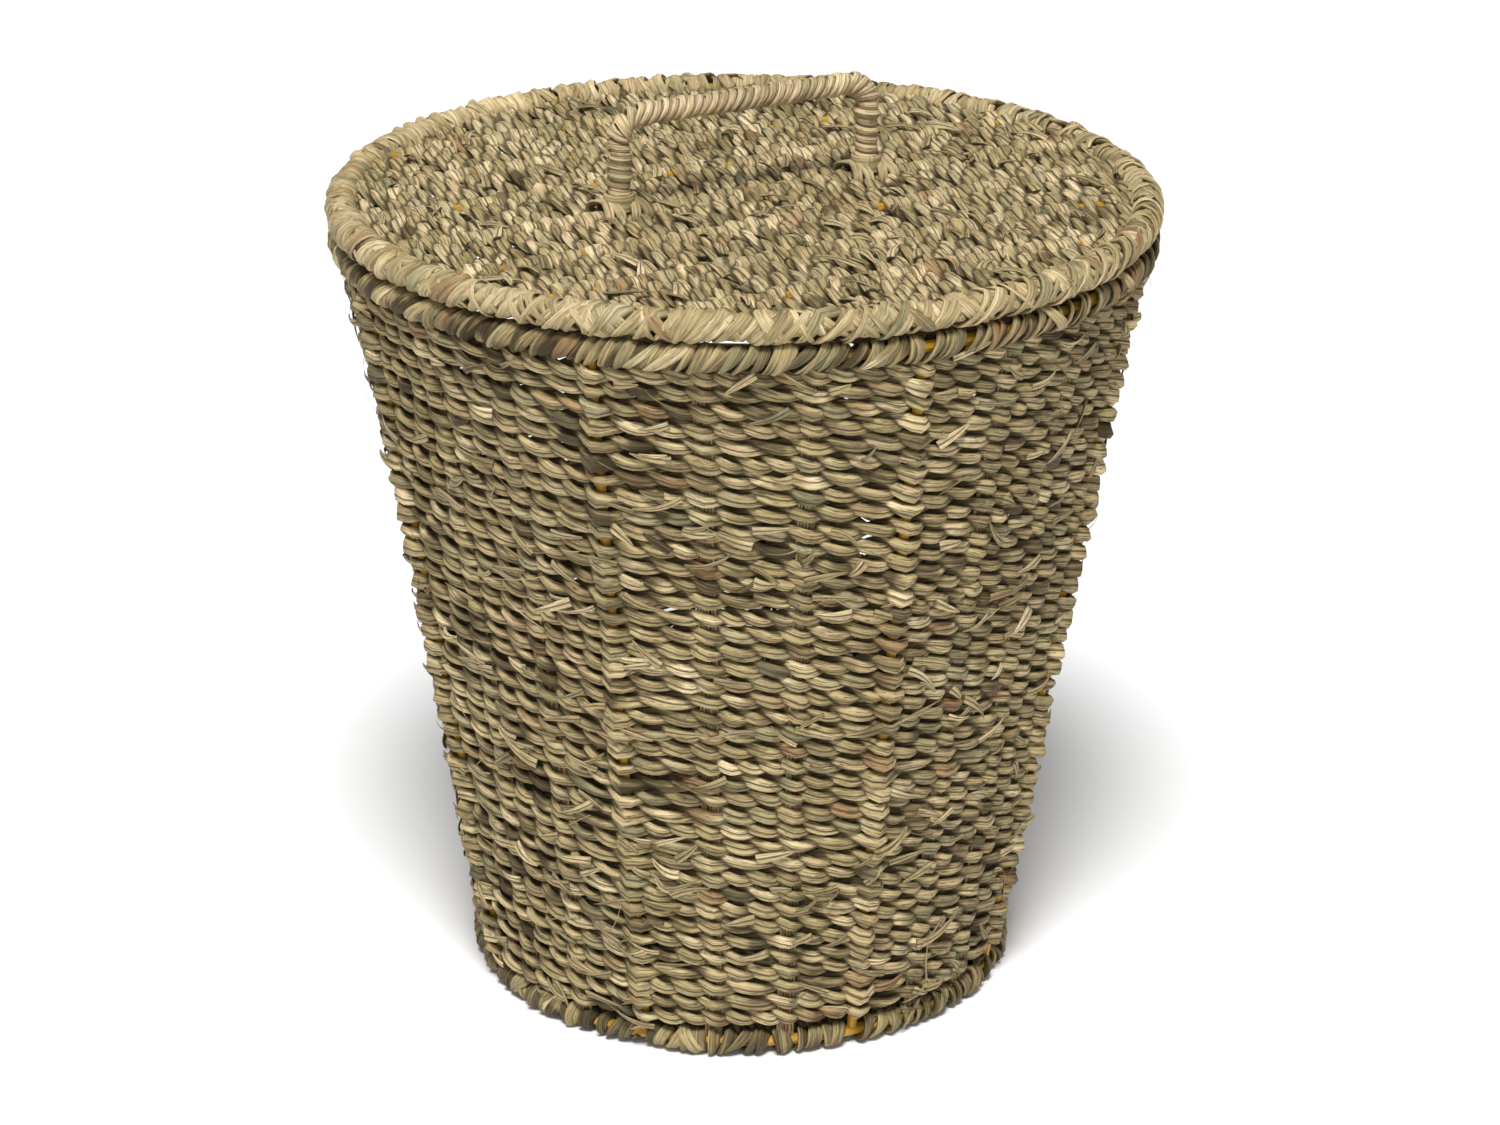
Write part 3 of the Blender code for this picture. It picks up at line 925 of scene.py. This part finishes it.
class BASKET_OT_lash_hoops(bpy.types.Operator):
    """Wind leaf around the base, rim and lid hoops"""

    bl_idname = "basket.lash_hoops"
    bl_label = "Lash the hoops"

    def execute(self, context):
        sizes = context.scene.basket_sizes
        wall = Wall()
        stakes = len(nodes_named("side_stake"))
        posts = [wall.stake + number * TAU / stakes for number in range(stakes + 1)]
        gap = FOOT_GAP / BASE_HOOP.radius
        between = [(first + gap, last - gap) for first, last in zip(posts, posts[1:])]
        whole = [(wall.stake, wall.stake + TAU)]
        jobs = (
            ("base_lashing", BASE_HOOP, "basket", "base_wrap", between),
            ("rim_lashing", TOP_HOOP, "basket", "rim_wrap", whole),
            ("lid_lashing", LID_HOOP, "lid", "lid_wrap", whole),
        )
        for number, (name, hoop, body, replaced, arcs) in enumerate(jobs):
            rng = np.random.default_rng(LASHING_SEED + number)
            # each lashing's tint carries its painted light or shade
            stitches, tint, layers = LASHINGS[name]
            strands = [hoop_coils(hoop, arc, sizes, layer, tint, rng) for layer in layers for arc in arcs]
            strands += stray_stitches(hoop, stitches, sizes.coil_width, rng)
            if hoop is TOP_HOOP:
                strands.append(rim_padding(hoop, rng))
            lay(name, strands, LASHING_SECTION, "seagrass lashing", body, [replaced])
        return {"FINISHED"}


# ---- the handle ----
class Handle:
    """The staple's middle line, read off the frame."""

    def __init__(self, sizes):
        low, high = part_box("handle_wire")
        wire = (high.y - low.y) / 2
        self.line = (high.y + low.y) / 2
        self.half = (high.x - low.x) / 2 - wire
        self.top = high.z - wire
        self.foot = LID_HOOP.level + half_height("lid_weave")
        self.bend = sizes.handle_bend
        wrap_low, wrap_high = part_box("handle_wrap")
        self.reach = (wrap_high.y - wrap_low.y) / 2

    def route(self):
        """Points close together from one foot, over the bar, to the other foot."""
        leg = self.top - self.bend - self.foot
        arc = math.pi / 2 * self.bend
        total = 2 * (leg + arc + self.half - self.bend)
        run = np.arange(0, total, ROUTE_STEP)
        far = run > total / 2
        side = np.where(far, -1.0, 1.0)
        near = np.where(far, total - run, run)
        turn = np.clip((near - leg) / self.bend, 0, math.pi / 2)
        x = self.bend * (1 - np.cos(turn)) - self.half + np.maximum(near - leg - arc, 0)
        z = self.foot + np.minimum(near, leg) + self.bend * np.sin(turn)
        route = np.stack([side * x, np.full(run.shape, self.line), z], axis=1)
        outward = np.stack([-side * np.cos(turn), 0 * run, np.sin(turn)], axis=1)
        return run, route, outward


class BASKET_OT_wrap_handle(bpy.types.Operator):
    """Wind the broad leaf around the staple and lash its feet to the lid"""

    bl_idname = "basket.wrap_handle"
    bl_label = "Wrap the handle"

    def execute(self, context):
        sizes = context.scene.basket_sizes
        handle = Handle(sizes)
        rng = np.random.default_rng(HANDLE_SEED)
        run, route, outward = handle.route()
        coils = run[-1] / sizes.handle_pitch
        coil = np.arange(int(coils * POINTS_PER_COIL)) / POINTS_PER_COIL
        steps = np.arange(len(run))
        on_bar = np.interp(coil / coils * (len(run) - 1), steps, outward[:, 2])
        slant = HANDLE_LEAN * on_bar * np.cos(TAU * coil) / run[-1] * coils
        where = np.clip((coil + slant) / coils, 0, 1) * (len(run) - 1)
        number = np.floor(coil).astype(int)
        width = HANDLE_LEAF * rng.uniform(0.85, 1.15, number.max() + 1)[number]
        snug = rng.normal(0, 0.00025, number.max() + 1)[number]
        tilt = rng.normal(0.45, 0.15, number.max() + 1)[number]
        depth = handle.reach - HANDLE_LEAF * HANDLE_FLATNESS + snug
        turn = TAU * coil

        def at(values):
            return np.stack([np.interp(where, steps, values[:, axis]) for axis in range(3)], axis=1)

        sideways = np.array([0.0, 1.0, 0.0])
        facing = at(outward) * np.cos(turn)[:, None] + sideways * np.sin(turn)[:, None]
        points = at(route) + facing * depth[:, None]
        wrap = strand(points, facing, width, rng, 0.03, 0.6, 0.14, tilt)
        lay("handle_leaf", [wrap], HANDLE_SECTION, "broad tan leaf", "lid", ["handle_wrap"])
        self.lash_feet(handle)
        return {"FINISHED"}

    def lash_feet(self, handle):
        """Rings of leaf round each leg, and loops over the wire beside it."""
        rng = np.random.default_rng(FOOT_SEED)
        strands = []
        for side in (-1, 1):
            foot = np.array([side * handle.half, handle.line, handle.foot])
            for ring in range(2):
                turn = np.linspace(0, TAU * 1.05, 18) + rng.uniform(0, TAU)
                around = ring_points(1.0, turn, 0.0)
                points = foot + around * FOOT_RING + np.array([0, 0, 0.001 + 0.0034 * ring])
                strands.append(strand(points, around, FOOT_LEAF, rng, 0.03, 0.6, 0.15))
            for offset in (-0.0065, 0.0065):
                for lean in (-0.003, 0.003):
                    turn = np.linspace(-0.1 * math.pi, 1.1 * math.pi, 12)
                    arch = np.stack([0 * turn, np.cos(turn), np.sin(turn)], axis=1)
                    points = foot + arch * np.array(FOOT_ARCH)
                    points[:, 0] += offset + lean * np.cos(turn)
                    points[:, 2] -= 0.0020
                    strands.append(strand(points, arch, FOOT_LEAF, rng, 0.03, 0.55, 0.2))
        replaced = ["handle_lashing_1", "handle_lashing_2"]
        lay("handle_foot_lashings", strands, FOOT_SECTION, "seagrass lashing", "lid", replaced)


# ---- loose ends ----
def leaf_ends(sites, normals, alongs, length_range, half_width, rng):
    """Short tips of leaf that leave the rope and curl along it."""
    strands = []
    for site, normal, along in zip(sites, normals, alongs):
        share = np.linspace(0, 1, 7)[:, None]
        reach = rng.uniform(*length_range)
        way = along * rng.choice([-1, 1]) + np.cross(normal, along) * rng.normal(0, 0.45)
        way = way / np.linalg.norm(way)
        lift = rng.uniform(0.0008, 0.0028)
        curl = np.cross(normal, way) * rng.normal(0, 0.25)
        stretch = way * share * reach + curl * share**2 * reach
        points = site + stretch + normal * (lift * np.sin(share * 2.4))
        thick = half_width * rng.uniform(0.5, 1.3) * (1 - share[:, 0] ** 2 * 0.8)
        facing = np.tile(normal + rng.normal(0, 0.3, 3), (len(share), 1))
        strands.append(strand(points, facing, thick, rng, 0.05, 0.6, 0.22))
    return strands


def wall_sites(count, rng):
    """Random places on the outside of the wall's rows, with the way out and the way along."""
    sizes = bpy.context.scene.basket_sizes
    wall = Wall()
    first, pitch, rows = wall_row_heights(wall, sizes)
    angle = rng.uniform(0, TAU, count)
    up = first + rng.integers(0, rows, count) * pitch + rng.normal(0, 0.001, count)
    normals = wall.normal(angle)
    sites = wall.point(angle, up) + normals * (sizes.ply * (WALL_LAY[0] + 0.6))
    return sites, normals, ring_points(1.0, angle + TAU / 4, 0.0)


def lid_sites(count, rng):
    sizes = bpy.context.scene.basket_sizes
    radius = (LID_HOOP.radius - LID_HOOP.reach) * np.sqrt(rng.uniform(0, 1, count))
    angle = rng.uniform(0, TAU, count)
    sites = ring_points(radius, angle, LID_HOOP.level + sizes.lid_ply * (DISC_LAY[0] + 0.6))
    return sites, np.tile([0.0, 0.0, 1.0], (count, 1)), np.tile([0.0, 1.0, 0.0], (count, 1))


class BASKET_OT_add_loose_ends(bpy.types.Operator):
    """Let tips of leaf and a few long fibres stick out of the rope"""

    bl_idname = "basket.add_loose_ends"
    bl_label = "Add loose ends"

    def execute(self, context):
        for name, body, leaf, sites, tips, fibres in (
            ("wall_loose_ends", "basket", "seagrass rope", wall_sites, WALL_TIPS, WALL_FIBRES),
            ("lid_loose_ends", "lid", "seagrass rope, sunned", lid_sites, LID_TIPS, LID_FIBRES),
        ):
            rng = np.random.default_rng(len(name))
            strands = leaf_ends(*sites(tips, rng), TIP_LENGTHS, TIP_HALF_WIDTH, rng)
            strands += leaf_ends(*sites(fibres, rng), FIBRE_LENGTHS, FIBRE_HALF_WIDTH, rng)
            lay(name, strands, LOOSE_SECTION, leaf, body)
        return {"FINISHED"}


# ---- the frame's wires and the stage ----
class BASKET_OT_lacquer_wires(bpy.types.Operator):
    """Give every wire of the frame its yellow lacquer"""

    bl_idname = "basket.lacquer_wires"
    bl_label = "Lacquer the wires"

    def execute(self, context):
        lacquer = lacquer_material()
        wires = ["base_ring", "top_ring", "lid_ring", "handle_wire"]
        for start in ("side_stake", "base_wire", "lid_wire"):
            wires += nodes_named(start)
        for name in wires:
            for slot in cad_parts[name].material_slots:
                slot.material = lacquer
        return {"FINISHED"}


class BASKET_OT_set_stage(bpy.types.Operator):
    """Set the floor, the soft lights and the camera"""

    bl_idname = "basket.set_stage"
    bl_label = "Set the stage"

    def execute(self, context):
        self.lay_floor()
        self.light()
        self.aim_camera(context.scene)
        context.scene.view_settings.view_transform = "Standard"
        return {"FINISHED"}

    def lay_floor(self):
        mesh = bpy.data.meshes.new("floor")
        half = 6.0
        corners = [(-half, -half, 0), (half, -half, 0), (half, half, 0), (-half, half, 0)]
        mesh.from_pydata(corners, [], [(0, 1, 2, 3)])
        floor = new_object("floor", mesh)
        floor.location.z = -0.0004
        material, _tree, shader = new_material("pale floor")
        shader.inputs["Base Color"].default_value = (0.84, 0.84, 0.84, 1)
        shader.inputs["Roughness"].default_value = 0.9
        mesh.materials.append(material)

    def light(self):
        world = bpy.data.worlds.new("soft room")
        world.use_nodes = True
        background = world.node_tree.nodes["Background"].inputs
        background["Color"].default_value = (1, 1, 1, 1)
        background["Strength"].default_value = 0.27
        bpy.context.scene.world = world
        sky = bpy.data.lights.new("overhead_light", "SUN")
        sky.energy = 3.75
        sky.angle = 0.30
        fill = bpy.data.lights.new("front_light", "AREA")
        fill.size = 1.0
        fill.energy = 9.0
        for lamp, place in ((sky, (-0.7, -1.1, 2.6)), (fill, (-1.0, -2.2, 0.9))):
            obj = new_object(lamp.name, lamp)
            obj.location = place
            aim = Vector((0, 0, 0.2)) - obj.location
            obj.rotation_euler = aim.to_track_quat("-Z", "Y").to_euler()

    def aim_camera(self, scene):
        """A long lens, a little above the basket, with the handle running away to the right."""
        turn = math.radians(-29.5)
        look_down = math.radians(22.26)
        distance = 1.85
        right = Vector((math.cos(turn), math.sin(turn), 0))
        back = Vector((math.sin(turn), -math.cos(turn), 0))
        target = Vector((0, 0, 0.1877)) + right * 0.0033
        lens = bpy.data.cameras.new("camera")
        lens.sensor_width = 36.0
        lens.lens = 97.1
        camera = new_object("camera", lens)
        camera.location = target + back * (distance * math.cos(look_down))
        camera.location.z += distance * math.sin(look_down)
        aim = (target - camera.location).to_track_quat("-Z", "Y").to_matrix()
        camera.rotation_euler = (aim @ Matrix.Rotation(math.radians(0.3), 3, "Z")).to_euler()
        scene.camera = camera


# ---- panel and registration ----
STEPS = (
    BASKET_OT_set_stage,
    BASKET_OT_lacquer_wires,
    BASKET_OT_lay_warps,
    BASKET_OT_twine_wall,
    BASKET_OT_twine_base,
    BASKET_OT_twine_lid,
    BASKET_OT_lash_hoops,
    BASKET_OT_wrap_handle,
    BASKET_OT_add_loose_ends,
)


class BASKET_PT_panel(bpy.types.Panel):
    """Every step of making the basket, with its sizes and colours"""

    bl_idname = "BASKET_PT_panel"
    bl_label = "Lidded basket"
    bl_space_type = "VIEW_3D"
    bl_region_type = "UI"
    bl_category = "Basket"

    def draw(self, context):
        for settings in (context.scene.basket_sizes, context.scene.basket_colours):
            for key in settings.__annotations__:
                self.layout.prop(settings, key)
        for step in STEPS:
            self.layout.operator(step.bl_idname)


CLASSES = (BasketSizes, BasketColours, *STEPS, BASKET_PT_panel)


def register():
    for item in CLASSES:
        bpy.utils.register_class(item)
    bpy.types.Scene.basket_sizes = bpy.props.PointerProperty(type=BasketSizes)
    bpy.types.Scene.basket_colours = bpy.props.PointerProperty(type=BasketColours)


def unregister():
    del bpy.types.Scene.basket_colours
    del bpy.types.Scene.basket_sizes
    for item in reversed(CLASSES):
        bpy.utils.unregister_class(item)


def main():
    register()
    for step in STEPS:
        group, name = step.bl_idname.split(".")
        getattr(getattr(bpy.ops, group), name)()


if __name__ == "__main__":
    main()
